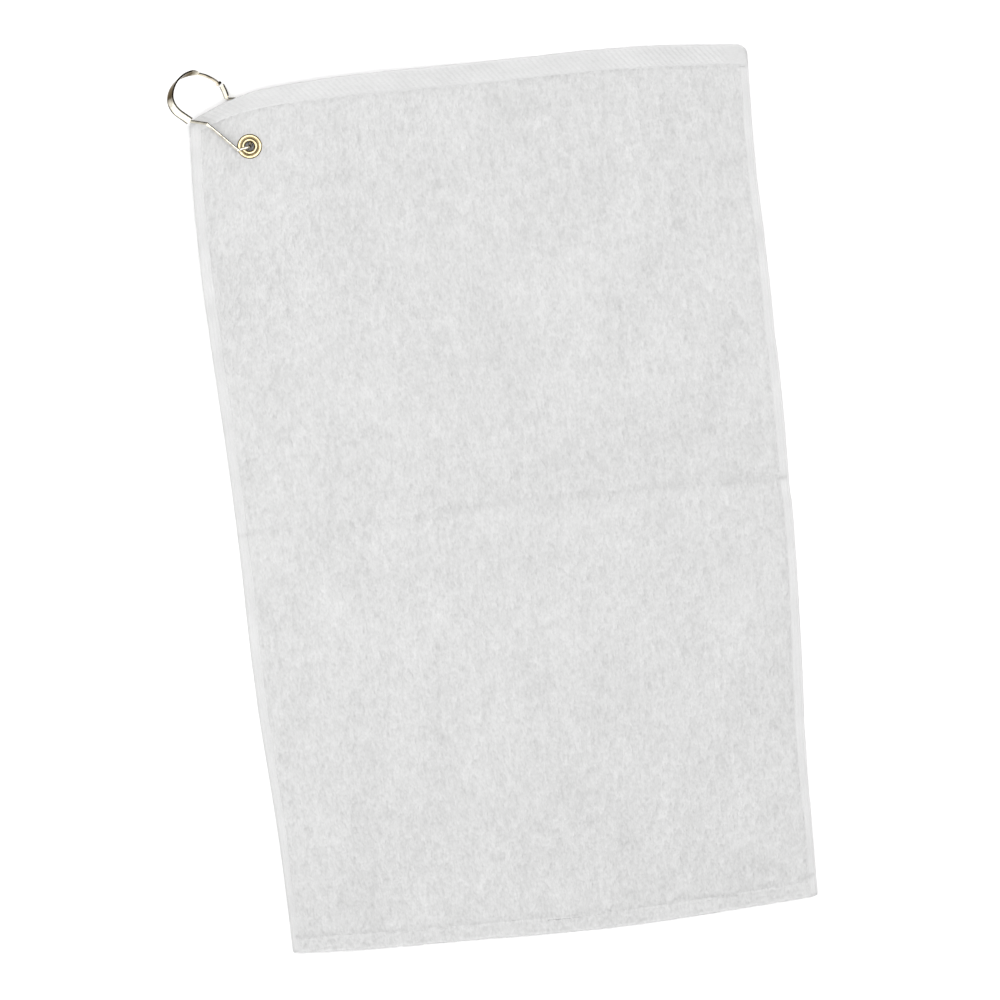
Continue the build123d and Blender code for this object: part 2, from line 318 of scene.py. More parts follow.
def lift(x, y):
    """How far the clip props the cloth up, in mm: two equal arcs along the diagonal."""
    along = (x - GROMMET[0]) * math.cos(DIAGONAL) + (y - GROMMET[1]) * math.sin(DIAGONAL)
    half = (RAMP_END - RAMP_START) / 2
    slope = 2 * math.atan2(CORNER_LIFT, RAMP_END - RAMP_START)
    radius = half / math.sin(slope)
    first = np.clip(along - RAMP_START, 0, half)
    second = np.clip(RAMP_END - along, 0, half)
    rise = radius - np.sqrt(radius**2 - first**2)
    fall = radius - np.sqrt(radius**2 - second**2)
    return np.where(along < RAMP_START + half, rise, CORNER_LIFT - fall)


def base(x, y):
    """Height of the cloth's underside, in mm: the lift, and the slack of cloth lying on a table."""
    away_from_brass = step(from_grommet(x, y), SLACK_START, SLACK_FULL)
    waves = SLACK_HEIGHT + 0.75 * slack(x, y) + 0.3 * puckers(x, y)
    return lift(x, y) + np.clip(waves, 0, SLACK_LIMIT) * away_from_brass


def crease(x, y):
    """How deep the middle fold's crease is, in mm: a sharp line in a wider, shallow hollow."""
    line = np.interp(x, *zip(*CREASE_LINE)) + 0.5 * crease_wander(x, 0 * y)
    depth = np.interp(x, *zip(*CREASE_DEPTH)) + 0.12 * crease_strength(x, 0 * y)
    return np.clip(depth, 0.2, 1.4) * dip(y - line, CREASE_WIDTH) + 0.25 * dip(y - line, CREASE_HOLLOW)


# ---- meshes ----


def mesh_object(name, points, faces, flat, material, relief=0.0, edge=0.0):
    """A mesh from points in cloth mm. For its material, each point also has its place on the flat
    piece, its relief as painted shade, and how strong the painted highlight near an outer edge is."""
    mesh = bpy.data.meshes.new(name)
    row = np.array(points, float) * MM
    row[:, :2] += cloth_middle
    mesh.from_pydata(row.tolist(), [], faces)
    attribute = mesh.attributes.new("flat", "FLOAT_VECTOR", "POINT")
    attribute.data.foreach_set("vector", np.array(flat, np.float32).ravel())
    for label, values in (("relief", relief), ("edge", edge)):
        attribute = mesh.attributes.new(label, "FLOAT", "POINT")
        one_each = np.broadcast_to(np.ravel(values), len(points))
        attribute.data.foreach_set("value", one_each.astype(np.float32))
    work = bmesh.new()
    work.from_mesh(mesh)
    bmesh.ops.recalc_face_normals(work, faces=work.faces)
    work.to_mesh(mesh)
    work.free()
    mesh.shade_smooth()
    mesh.materials.append(material)
    made = bpy.data.objects.new(name, mesh)
    bpy.context.scene.collection.objects.link(made)
    return made


def grid_faces(columns, rows, first=0):
    """The quads of a grid of points stored row by row."""
    i, j = np.meshgrid(np.arange(columns - 1), np.arange(rows - 1))
    corner = (first + j * columns + i).ravel()
    return np.stack([corner, corner + 1, corner + columns + 1, corner + columns], axis=1)


def tube_faces(stations, around):
    """The quads of a closed section carried along stations, and its two end caps."""
    i, j = np.meshgrid(np.arange(stations - 1), np.arange(around))
    here, after = (i * around + j).ravel(), (i * around + (j + 1) % around).ravel()
    quads = np.stack([here, after, after + around, here + around], axis=1).tolist()
    caps = [list(range(around)), list(range((stations - 1) * around, stations * around))]
    return quads + caps


def softened(values, times_across, times_up):
    """Values on a grid, smoothed a number of times in each direction."""
    for axis, times in ((1, times_across), (0, times_up)):
        for _ in range(times):
            values = (np.roll(values, 1, axis) + 2 * values + np.roll(values, -1, axis)) / 4
    return values / values.std()


def pile_face(across, up, columns, rows, front):
    """A grid of points on one face of the pile, as x, y, height above the floor, and painted shade for the
    material from its relief, crease and pulled threads. It rises from under the hems in two stages, to a
    soft roll just inside them."""
    x, y = np.moveaxis(cloth_xy(across, up), -1, 0)
    grain = softened(chance.normal(0, 1, (rows, columns)), 1, 2)
    clumps = softened(chance.normal(0, 1, (rows, columns)), 4, 6)
    streaks = softened(chance.normal(0, 1, (rows, columns)), 1, 14)
    relief = 0.17 * grain + 0.06 * clumps + 0.05 * streaks
    inside = np.minimum.reduce(
        [
            across * FLAT_WIDTH - LEFT_HEM * share_at(LEFT_HEM_SHARES, up),
            (1 - across) * FLAT_WIDTH - RIGHT_HEM * share_at(RIGHT_HEM_SHARES, up),
            up * FLAT_LENGTH - BOTTOM_HEM,
            (1 - up) * FLAT_LENGTH - TOP_HEM * share_at(TOP_HEM_SHARES, across),
        ]
    )
    full = 0.68 * step(inside, -2.4, -1.0) + 0.32 * step(inside, -1.2, 1.8)
    puff = 0.2 * dip(inside - 2.5, 2.0)
    crimp = step(from_grommet(x, y), FLANGE_RADIUS + 0.2, FLANGE_RADIUS + 2.6)
    if front:
        fold = crease(x, y)
        pulled = pulled_threads(x, y)
        top = PILE_TOP + puff + relief - 0.9 * fold - 0.7 * pulled
        open_height = FRONT_RIM + (top - FRONT_RIM) * full
        z = base(x, y) + CRIMP_HIGH + (open_height - CRIMP_HIGH) * crimp
        # Painted shade: darker in the pile's hollows, along the crease and along pulled threads.
        return x, y, z, np.clip(relief / 0.5 - 1.2 * fold - 1.5 * pulled, -2, 1)
    low = 0.12 + np.abs(relief) * 0.8 + 0.35 * crease(x, y)
    open_height = BACK_RIM + (low - BACK_RIM) * full
    z = base(x, y) + CRIMP_LOW + (open_height - CRIMP_LOW) * crimp
    # Painted shade from the back's relief.
    return x, y, z, -relief / 0.5


def make_pile(material):
    """The terry: both faces and the rim between them, with a hole for the grommet's barrel."""
    narrowest_top = TOP_HEM * TOP_HEM_SHARES[0][1]
    span = (
        ((LEFT_HEM - PILE_TUCK) / FLAT_WIDTH, 1 - (RIGHT_HEM - PILE_TUCK) / FLAT_WIDTH),
        ((BOTTOM_HEM - PILE_TUCK) / FLAT_LENGTH, 1 - (narrowest_top - PILE_TUCK) / FLAT_LENGTH),
    )
    points, flat, relief, quads = [], [], [], []
    for front, every in ((True, 1), (False, 2)):
        columns, rows = (PILE_COLUMNS - 1) // every + 1, (PILE_ROWS - 1) // every + 1
        across, up = np.meshgrid(np.linspace(*span[0], columns), np.linspace(*span[1], rows))
        x, y, z, tone = pile_face(across, up, columns, rows, front)
        relief.append(tone.ravel())
        faces = grid_faces(columns, rows, first=sum(len(p) for p in points))
        centre_x = (x[1:, 1:] + x[:-1, :-1]) / 2
        centre_y = (y[1:, 1:] + y[:-1, :-1]) / 2
        quads.append(faces[from_grommet(centre_x, centre_y).ravel() > HOLE_CUT])
        push = np.maximum(1, HOLE_RADIUS / np.maximum(from_grommet(x, y), 0.01))
        x = GROMMET[0] + (x - GROMMET[0]) * push
        y = GROMMET[1] + (y - GROMMET[1]) * push
        points.append(np.stack([x, y, z], axis=-1).reshape(-1, 3))
        flat.append(np.stack([across * FLAT_WIDTH, up * FLAT_LENGTH, 0 * z + front], axis=-1).reshape(-1, 3))
    faces = np.vstack(quads).tolist() + rim_faces()
    pile = mesh_object("terry_pile", np.vstack(points), faces, np.vstack(flat), material, np.hstack(relief))
    close_hole(pile)
    return pile


def rim_faces():
    """The faces that join the pile's front to its back, which has every second point, round its edge."""
    columns, rows = PILE_COLUMNS, PILE_ROWS
    back_columns, back_rows = (columns - 1) // 2 + 1, (rows - 1) // 2 + 1
    first = columns * rows
    faces = []
    for row in (0, rows - 1):
        for k in range(back_columns - 1):
            front = row * columns + 2 * k
            back = first + row // 2 * back_columns + k
            faces.append([front, front + 1, front + 2, back + 1, back])
    for column in (0, columns - 1):
        for k in range(back_rows - 1):
            front = 2 * k * columns + column
            back = first + k * back_columns + column // 2
            faces.append([front, front + columns, front + 2 * columns, back + back_columns, back])
    return faces


def close_hole(pile):
    """Joins the two open edges round the grommet's barrel and drops the points left over."""
    work = bmesh.new()
    work.from_mesh(pile.data)
    bmesh.ops.delete(work, geom=[v for v in work.verts if not v.link_faces], context="VERTS")
    open_edges = [e for e in work.edges if e.is_boundary]
    bmesh.ops.bridge_loops(work, edges=open_edges)
    bmesh.ops.recalc_face_normals(work, faces=work.faces)
    work.to_mesh(pile.data)
    work.free()
    pile.data.shade_smooth()


def rounded_edge(radius, from_deg, to_deg, count):
    """Points round part of a hem's rounded outer edge."""
    turn = np.radians(np.linspace(from_deg, to_deg, count))
    return np.stack([radius + radius * np.cos(turn), radius + radius * np.sin(turn)], axis=1)


def hem_section(width, thickness, spacing, valley):
    """A flattened hem's section as a closed loop of (inset from the edge, height), and how many of
    its points face up."""
    radius = thickness / 2
    outer = rounded_edge(radius, 180, 100, 5)
    inset = np.arange(radius, width - 0.3, spacing)
    seam = dip(inset - (width - SEAM_INSET), 0.5)
    top = np.stack([inset, thickness + 0.12 * np.sin(np.pi * inset / width) - valley * seam], axis=1)
    inner = np.array(
        [
            (width - 0.05, thickness * 0.8),
            (width + 0.1, thickness * 0.5),
            (width - 0.2, thickness * 0.28),
        ]
    )
    under_inset = np.arange(width - 0.6, radius, -1.2)
    under_seam = dip(under_inset - (width - SEAM_INSET), 0.6)
    under = np.stack([under_inset, 0.06 + 0.5 * under_seam], axis=1)
    lower = rounded_edge(radius, 260, 200, 4)
    return np.vstack([outer, top, inner, under, lower]), len(outer) + len(top)


def make_hem(name, place, stations, section, texture, material, edge_highlight=0.6):
    """A hem: its section carried along an edge. place turns (share along, inset) into (x, y, mm along),
    texture adds relief, which also gives its painted shade, and a shift sideways, and the last argument sets
    how strong the painted highlight along its outer edge is."""
    loop, up_facing = section
    share = np.linspace(0, 1, stations)[:, None]
    inset = loop[None, :, 0]
    along, inset = np.broadcast_arrays(share, inset)
    faces_up = np.broadcast_to(np.arange(len(loop)) < up_facing, along.shape)
    x, y, along_mm = place(along, inset)
    relief, shift = texture(along_mm, inset, x, y)
    x, y, _ = place(along, inset + shift)
    ends = np.minimum(along_mm, along_mm.max() - along_mm)
    closed = np.sqrt(1 - (1 - np.clip(ends / END_ROUNDING, 0.08, 1)) ** 2)
    half = loop[:, 1].max() / 2
    section_z = half + (np.broadcast_to(loop[None, :, 1], along.shape) - half) * closed
    z = base(x, y) + np.maximum(section_z + relief * faces_up, 0.03)
    points = np.stack([x, y, z], axis=-1).reshape(-1, 3)
    flat = np.stack([along_mm, inset, faces_up * 1.0], axis=-1).reshape(-1, 3)
    # Painted shade from the same relief: darker in valleys, the crease and pulled threads, paler on ridges.
    shade = np.clip(relief / 0.25, -2.5, 1)
    # Painted highlight along the hem's outer edge.
    edge = edge_highlight * dip(inset, EDGE_HIGHLIGHT_REACH)
    return mesh_object(name, points, tube_faces(stations, len(loop)), flat, material, shade, edge)


def along_top(share, inset):
    """Place along the top edge, from left to right."""
    up = 1 - inset * share_at(TOP_HEM_SHARES, share) / FLAT_LENGTH
    x, y = np.moveaxis(cloth_xy(share, up), -1, 0)
    return x, y, share * FLAT_WIDTH


def along_bottom(share, inset):
    """Place along the bottom edge, from left to right."""
    x, y = np.moveaxis(cloth_xy(share, inset / FLAT_LENGTH), -1, 0)
    return x, y, share * FLAT_WIDTH


def along_side(left, low, high):
    """A place function along a side edge, between two shares of the cloth's length."""

    def place(share, inset):
        up = low + share * (high - low)
        inset = inset * share_at(LEFT_HEM_SHARES if left else RIGHT_HEM_SHARES, up)
        across = inset / FLAT_WIDTH if left else 1 - inset / FLAT_WIDTH
        x, y = np.moveaxis(cloth_xy(across, up), -1, 0)
        return x, y, share * (high - low) * FLAT_LENGTH

    return place


rib_wander = Field(30, 40)
rib_strength = Field(34, 400)
edge_wander = Field(26, 26)
edge_steps = Field(9, 9)
seam_strength = Field(22, 400)
fluff = Field(1.6, 1.6)
fluff_fine = Field(0.9, 0.9)


def top_texture(along, inset, x, y):
    """Slanted ribs of the flat woven band."""
    phase = (along - inset * math.tan(RIB_SLANT) + 1.2 * rib_wander(x, y)) / RIB_PITCH
    ridge = np.sqrt(np.abs(np.sin(np.pi * phase)))
    strength = np.clip(0.75 + 0.4 * rib_strength(x, 0 * y) + 0.4 * step(x, 20, 120), 0.25, 1.3)
    fade = step(inset, 0.5, 1.6) * step(TOP_HEM - inset, 1.2, 2.4) * step(RIBS_STOP - x, 0, 6)
    filled = TOP_VALLEY * dip(inset - (TOP_HEM - SEAM_INSET), 0.5) * step(-x, 70, 110)
    return 0.4 * (ridge - 0.65) * strength * fade + filled + 0.04 * fluff(x, y), 0.18 * edge_steps(x, y)


def bottom_texture(along, inset, x, y):
    """Folded terry, with a fluffy lower edge and an uneven seam."""
    seam = dip(inset - (BOTTOM_HEM - SEAM_INSET), 0.5)
    filled = BOTTOM_VALLEY * seam * np.clip(0.6 + 0.9 * seam_strength(x, 0 * y), 0, 1)
    relief = 0.2 * fluff(x, y) + 0.12 * fluff_fine(x, y) + filled - 0.5 * pulled_threads(x, y)
    shift = 0.3 * edge_wander(x, y) + 0.25 * fluff(x, y) * dip(inset, 2.0) - 0.9 * seam * edge_wander(x, y)
    return relief, shift


def side_texture(along, inset, x, y):
    """A smooth fold with soft lengthwise ridges, nicked where the middle crease crosses it."""
    ridges = 0.07 * np.cos(2 * np.pi * inset / 1.9)
    sunk = 0.45 * crease(x, y) + 0.6 * pulled_threads(x, y)
    relief = ridges + 0.03 * fluff(x, y) + 0.12 * edge_steps(x, y) - sunk
    return relief, 0.45 * edge_wander(x, y) + 0.15 * edge_steps(x, y)


def make_stitches(name, place, length, width, thickness, material):
    """A row of lock stitches in the seam's valley, on the front and on the back."""
    count = int(length / STITCH_PITCH)
    ring = np.radians(np.arange(STITCH_SIDES) * 360 / STITCH_SIDES)
    points, flat, faces = [], [], []
    for height, rise in ((thickness - FRONT_STITCH_SINK, 1.0), (BACK_STITCH_HEIGHT, -1.0)):
        for k in range(count):
            lean = chance.normal(0, 0.08)
            first = len(points) * STITCH_SIDES
            for t in np.linspace(-0.5, 0.5, STITCH_RINGS):
                share = (k + 0.5) / count + t * STITCH_LENGTH / length
                arch = 0.34 * math.sqrt(max(0.0, 1 - (2 * t) ** 2)) - 0.12
                radius = THREAD_RADIUS * (0.55 + 0.45 * math.sqrt(max(0.0, 1 - (2 * t) ** 4)))
                outwards, upwards = radius * np.cos(ring), radius * np.sin(ring)
                x, y, _ = place(np.full(STITCH_SIDES, share), width - SEAM_INSET + lean * t + outwards)
                z = base(x, y) + height + rise * arch + upwards
                points.append(np.stack([x, y, z], axis=1))
                flat.append(np.stack([0 * x + share * length, outwards, upwards], axis=1))
            faces += [[first + v for v in face] for face in tube_faces(STITCH_RINGS, STITCH_SIDES)]
    return mesh_object(name, np.vstack(points), faces, np.vstack(flat), material)


# ---- materials ----


def new_material(name):
    """A new material, its node tree, and the Principled shader in it."""
    material = bpy.data.materials.new(name)
    material.use_nodes = True
    return material, material.node_tree, material.node_tree.nodes["Principled BSDF"]


def set_inputs(tree, target, inputs):
    """Sets a node's inputs, by name or number, or links them to other nodes."""
    for key, value in inputs.items():
        if isinstance(value, bpy.types.NodeSocket):
            tree.links.new(value, target.inputs[key])
        else:
            target.inputs[key].default_value = value


def node(tree, kind, inputs, **settings):
    """A new node with its settings and inputs."""
    made = tree.nodes.new("ShaderNode" + kind)
    for key, value in settings.items():
        setattr(made, key, value)
    set_inputs(tree, made, inputs)
    return made


def maths(tree, operation, a, b):
    """One sum on two values."""
    return node(tree, "Math", {0: a, 1: b}, operation=operation).outputs[0]


def added(tree, total, *others):
    """The sum of several values."""
    for value in others:
        total = maths(tree, "ADD", total, value)
    return total


def vector_maths(tree, operation, a, b):
    """One sum on two vectors: a value for a dot product or a distance, and otherwise a vector."""
    made = node(tree, "VectorMath", {0: a, 1: b}, operation=operation)
    return made.outputs["Value" if operation in ("DOT_PRODUCT", "DISTANCE") else "Vector"]


def remap(tree, value, low, high, to_low, to_high):
    """A value's range moved to another range, and held at its ends."""
    return node(tree, "MapRange", {0: value, 1: low, 2: high, 3: to_low, 4: to_high}).outputs[0]


def noise(tree, place, scale, detail=2.0, roughness=0.5):
    """Smooth noise from 0 to 1."""
    inputs = {"Vector": place, "Scale": scale, "Detail": detail, "Roughness": roughness}
    return node(tree, "TexNoise", inputs).outputs["Fac"]


def bands(tree, place, scale, distortion, direction):
    """Bands from 0 to 1, bent a little out of line."""
    inputs = {"Vector": place, "Scale": scale, "Distortion": distortion, "Detail": 1.0}
    return node(tree, "TexWave", inputs, bands_direction=direction).outputs["Fac"]


def flat_place(tree, scale):
    """Places on the flat piece, in mm, scaled."""
    place = node(tree, "Attribute", {}, attribute_name="flat").outputs["Vector"]
    return vector_maths(tree, "MULTIPLY", place, scale)


def painted_relief_shade(tree, amount):
    """Painted shade: darker in the hollows of the piece's own relief and paler on its tops, by amount."""
    height = node(tree, "Attribute", {}, attribute_name="relief").outputs["Fac"]
    return maths(tree, "MULTIPLY", height, amount)


def with_painted_edge_highlight(tree, colour):
    """A colour with a painted highlight near the outer edge, as of loose fibres catching the light."""
    fibres = node(tree, "Attribute", {}, attribute_name="edge").outputs["Fac"]
    mix = node(tree, "Mix", {"Factor": fibres, 6: colour, 7: EDGE_HIGHLIGHT_COLOUR}, data_type="RGBA")
    return mix.outputs[2]


def tinted(tree, value, dark, light, past_ends=False):
    """A colour between two, by a value from 0 to 1. With past_ends it carries on past the two colours."""
    colours = {"Factor": value, 6: (*dark, 1), 7: (*light, 1)}
    return node(tree, "Mix", colours, data_type="RGBA", clamp_factor=not past_ends).outputs[2]


def bumped(tree, height, strength, distance, below=None):
    """A bump from a height, on top of another one if it is given."""
    inputs = {"Height": height, "Strength": strength, "Distance": distance}
    if below is not None:
        inputs["Normal"] = below
    return node(tree, "Bump", inputs).outputs["Normal"]


def terry_material():
    """Cotton loops: rounded tufts with painted shade in the gaps between them, long grain up the cloth, and
    soft patches.
    """
    material, tree, shader = new_material("terry_cotton")
    place = flat_place(tree, (1.0, 0.62, 1.0))
    loops = node(tree, "TexVoronoi", {"Vector": place, "Scale": 0.75, "Randomness": 0.9}).outputs["Distance"]
    grain = noise(tree, place, 0.6, 2.0, 0.6)
    streaks = noise(tree, flat_place(tree, (0.55, 0.12, 1.0)), 1.0, 3.0, 0.6)
    patches = noise(tree, flat_place(tree, (0.03, 0.022, 1.0)), 1.0, 3.0, 0.55)
    fibres = noise(tree, place, 5.0, 2.0, 0.6)
    tone = added(
        tree,
        remap(tree, grain, 0.3, 0.7, -0.2, 0.2),
        remap(tree, streaks, 0.3, 0.7, -0.14, 0.14),
        remap(tree, patches, 0.35, 0.65, -0.1, 0.1),
        # Painted shade in the hollows, and paler on the tops.
        painted_relief_shade(tree, 0.2),
        # Painted shade in the gaps between the loops.
        remap(tree, loops, 0.15, 0.75, 0.68, 0.38),
    )
    colour = tinted(tree, tone, (0.435, 0.435, 0.434), (0.57, 0.57, 0.57), past_ends=True)
    tufts = bumped(tree, maths(tree, "SUBTRACT", 1.0, loops), 0.6, 0.0006)
    grainy = bumped(tree, grain, 0.7, 0.0009, tufts)
    finish = {
        "Base Color": with_painted_edge_highlight(tree, colour),
        "Roughness": remap(tree, grain, 0.3, 0.7, 0.98, 0.86),
        "Normal": bumped(tree, fibres, 0.25, 0.00012, grainy),
        "Specular IOR Level": 0.2,
        "Sheen Weight": 0.12,
        "Sheen Roughness": 0.6,
    }
    set_inputs(tree, shader, finish)
    return material


def woven_material(name, dark, light, pitch, slant_deg):
    """A flat weave: two crossing sets of fine threads, with uneven yarn and a little wear."""
    material, tree, shader = new_material(name)
    place = {"Vector": flat_place(tree, (1.0, 1.0, 1.0)), "Angle": math.radians(slant_deg)}
    turned = node(tree, "VectorRotate", place, rotation_type="Z_AXIS").outputs[0]
    warp, weft = (bands(tree, turned, 1.6 / math.pi / pitch, 1.2, direction) for direction in "XY")
    weave = maths(tree, "MULTIPLY", warp, weft)
    yarn = noise(tree, flat_place(tree, (0.5, 1.6, 1.0)), 1.0, 3.0, 0.6)
    wear = noise(tree, flat_place(tree, (0.05, 0.12, 1.0)), 1.0, 3.0, 0.55)
    tone = added(
        tree,
        remap(tree, weave, 0.0, 1.0, 0.25, 0.6),
        remap(tree, yarn, 0.3, 0.7, -0.2, 0.2),
        remap(tree, wear, 0.35, 0.65, -0.15, 0.15),
        # Painted shade in the hollows, and paler on the tops.
        painted_relief_shade(tree, 0.35),
    )
    colour = tinted(tree, tone, dark, light, past_ends=True)
    threads = bumped(tree, weave, 0.5, 0.00018)
    finish = {
        "Base Color": with_painted_edge_highlight(tree, colour),
        "Roughness": remap(tree, yarn, 0.3, 0.7, 0.92, 0.8),
        "Normal": bumped(tree, yarn, 0.35, 0.0003, threads),
        "Specular IOR Level": 0.25,
        "Sheen Weight": 0.1,
        "Sheen Roughness": 0.5,
    }
    set_inputs(tree, shader, finish)
    return material


def thread_material():
    """Sewing thread: a tight twist, a little shinier than the cloth."""
    material, tree, shader = new_material("sewing_thread")
    place = flat_place(tree, (1.0, 1.0, 1.0))
    twist = bands(tree, place, 1.1, 0.6, "DIAGONAL")
    uneven = noise(tree, place, 0.4)
    tone = added(tree, remap(tree, twist, 0.0, 1.0, 0.2, 0.8), remap(tree, uneven, 0.3, 0.7, -0.2, 0.2))
    finish = {
        "Base Color": tinted(tree, tone, (0.46, 0.46, 0.46), (0.58, 0.58, 0.58)),
        "Roughness": remap(tree, uneven, 0.3, 0.7, 0.62, 0.78),
        "Normal": bumped(tree, twist, 0.5, 0.00006),
    }
    set_inputs(tree, shader, finish)
    return material


def brass_material(name, dark, light, smooth, darkening_mask):
    """Plated brass: polished, darker where the mask says, tarnished in soft patches, with fine scratches."""
    material, tree, shader = new_material(name)
    place = node(tree, "TexCoord", {}).outputs["Object"]
    patches = noise(tree, place, 260.0, 4.0, 0.6)
    specks = noise(tree, place, 1400.0)
    scratches = noise(tree, vector_maths(tree, "MULTIPLY", place, (900.0, 5200.0, 2400.0)), 1.0)
    polish = remap(tree, patches, 0.3, 0.55, 0.6, 1.0)
    speckled = added(tree, polish, remap(tree, specks, 0.4, 0.6, -0.06, 0.06))
    # The mask darkens the colour: painted shade and painted dark reflections on the clip and grommet.
    tone = maths(tree, "SUBTRACT", speckled, darkening_mask(tree, place))
    dull = remap(tree, patches, 0.35, 0.65, 0.1, 0.0)
    worn = remap(tree, scratches, 0.4, 0.6, 0.0, 0.04)
    uneven = bumped(tree, patches, 0.03, 0.0003)
    finish = {
        "Base Color": tinted(tree, tone, dark, light),
        "Roughness": added(tree, dull, worn, smooth),
        "Normal": bumped(tree, scratches, 0.1, 0.00004, uneven),
        "Metallic": 1.0,
        "Specular Tint": GLANCING_TINT,
    }
    set_inputs(tree, shader, finish)
    return material


def along_axis(tree, place, axis):
    """How far, in metres, a place is from the grommet's middle in the direction of an axis."""
    from_middle = vector_maths(tree, "SUBTRACT", place, middle("grommet_eyelet"))
    return vector_maths(tree, "DOT_PRODUCT", from_middle, axis)


def darkest(tree, first, *others):
    """The largest of several darkening masks."""
    for value in others:
        first = maths(tree, "MAXIMUM", first, value)
    return first


def clip_painted_shade(tree, place):
    """The clip is painted darkest along the edges of its strip, as dark reflections, and round the far end
    of its ring, as shade.
    """
    across = maths(tree, "ABSOLUTE", along_axis(tree, place, CLIP_ACROSS), 0.0)
    outwards = along_axis(tree, place, CLIP_OUTWARDS)
    sideways = along_axis(tree, place, CLIP_SIDEWAYS)
    # Painted dark reflections along the strip's and latch's edges, and painted shade round the ring's far
    # end.
    edges = remap(tree, across, 2.2 * MM, 2.8 * MM, 0.0, 0.95)
    far_end = remap(tree, outwards, 44.0 * MM, 48.5 * MM, 0.0, 0.97)
    on_latch = remap(tree, sideways, -12.6 * MM, -13.4 * MM, 0.0, 0.9)
    latch_edges = maths(tree, "MULTIPLY", on_latch, remap(tree, across, 1.3 * MM, 1.8 * MM, 0.0, 1.0))
    return darkest(tree, edges, far_end, latch_edges)


def tongue_darkening(tree, place):
    """The tongue is dark along its front edge."""
    return remap(tree, along_axis(tree, place, CLIP_ACROSS), -0.1 * MM, 0.5 * MM, 0.1, 0.9)


def grommet_painted_shade(tree, place):
    """Painted shade: the grommet is darkest where the washer meets the lip, round its rim and inside its
    hole.
    """
    centre = (*middle("grommet_eyelet")[:2], 0)
    radius = vector_maths(tree, "DISTANCE", vector_maths(tree, "MULTIPLY", place, (1, 1, 0)), centre)
    from_groove = maths(tree, "ABSOLUTE", maths(tree, "SUBTRACT", radius, GROOVE_RADIUS * MM), 0.0)
    groove = remap(tree, from_groove, 0.25 * MM, 0.7 * MM, 0.95, 0.0)
    rim = remap(tree, radius, 5.8 * MM, 6.3 * MM, 0.0, 0.8)
    hole = remap(tree, radius, 2.5 * MM, 3.0 * MM, 0.7, 0.0)
    return darkest(tree, groove, rim, hole)


# ---- the towel ----

terry = terry_material()
band_weave = woven_material("flat_woven_band", (0.495, 0.495, 0.495), (0.61, 0.61, 0.61), 0.8, 38)
hem_weave = woven_material("side_hem_weave", (0.53, 0.53, 0.53), (0.63, 0.63, 0.63), 0.6, 0)
thread = thread_material()

pile = make_pile(terry)
left_span = SIDE_HEM_START, 1 - LEFT_HEM_STOP / FLAT_LENGTH
right_span = SIDE_HEM_START, 1 - RIGHT_HEM_STOP / FLAT_LENGTH
left_place = along_side(True, *left_span)
right_place = along_side(False, *right_span)
left_length = (left_span[1] - left_span[0]) * FLAT_LENGTH
right_length = (right_span[1] - right_span[0]) * FLAT_LENGTH
top_hem = make_hem(
    "top_hem_band",
    along_top,
    stations=661,
    section=hem_section(TOP_HEM, HEM_THICKNESS, spacing=0.42, valley=TOP_VALLEY),
    texture=top_texture,
    material=band_weave,
)
bottom_hem = make_hem(
    "bottom_hem_fold",
    along_bottom,
    stations=401,
    section=hem_section(BOTTOM_HEM, HEM_THICKNESS, spacing=0.5, valley=BOTTOM_VALLEY),
    texture=bottom_texture,
    material=terry,
    # A stronger painted highlight along the fluffy lower edge.
    edge_highlight=0.85,
)
left_hem = make_hem(
    "left_hem_fold",
    left_place,
    stations=601,
    section=hem_section(LEFT_HEM, SIDE_HEM_THICKNESS, spacing=0.45, valley=SIDE_VALLEY),
    texture=side_texture,
    material=hem_weave,
    edge_highlight=0.0,
)
right_hem = make_hem(
    "right_hem_fold",
    right_place,
    stations=601,
    section=hem_section(RIGHT_HEM, SIDE_HEM_THICKNESS, spacing=0.45, valley=SIDE_VALLEY),
    texture=side_texture,
    material=hem_weave,
)
top_stitches, bottom_stitches, left_stitches, right_stitches = (
    make_stitches(name, place, length, width, thickness, thread)
    for name, place, length, width, thickness in (
        ("top_seam_stitches", along_top, FLAT_WIDTH, TOP_HEM, HEM_THICKNESS),
        ("bottom_seam_stitches", along_bottom, FLAT_WIDTH, BOTTOM_HEM, HEM_THICKNESS),
        ("left_seam_stitches", left_place, left_length, LEFT_HEM, SIDE_HEM_THICKNESS),
        ("right_seam_stitches", right_place, right_length, RIGHT_HEM, SIDE_HEM_THICKNESS),
    )
)

# ---- the brass: CAD nodes, with their own materials ----

grommet_brass = brass_material(
    "grommet_brass_plate",
    dark=(0.13, 0.1, 0.05),
    light=(0.56, 0.47, 0.29),
    smooth=0.16,
    darkening_mask=grommet_painted_shade,
)
clip_brass = brass_material(
    "clip_brass_plate",
    dark=(0.075, 0.065, 0.055),
    light=(0.98, 0.93, 0.8),
    smooth=0.05,
    darkening_mask=clip_painted_shade,
)
tongue_brass = brass_material(
    "tongue_brass_plate",
    dark=(0.05, 0.035, 0.02),
    light=(0.9, 0.83, 0.68),
    smooth=0.1,
    darkening_mask=tongue_darkening,
)
for name, metal in (
    ("grommet_eyelet", grommet_brass),
    ("grommet_washer", grommet_brass),
    ("clip_strip", clip_brass),
    ("clip_tongue", tongue_brass),
):
    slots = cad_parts[name].data.materials
    slots.clear()
    slots.append(metal)

# ---- how the pieces move ----

for piece in (pile, left_hem, right_hem, left_stitches, right_stitches):
    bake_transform(piece)
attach(top_hem, "upper_half")
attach(top_stitches, "upper_half")
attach(bottom_hem, "lower_half")
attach(bottom_stitches, "lower_half")

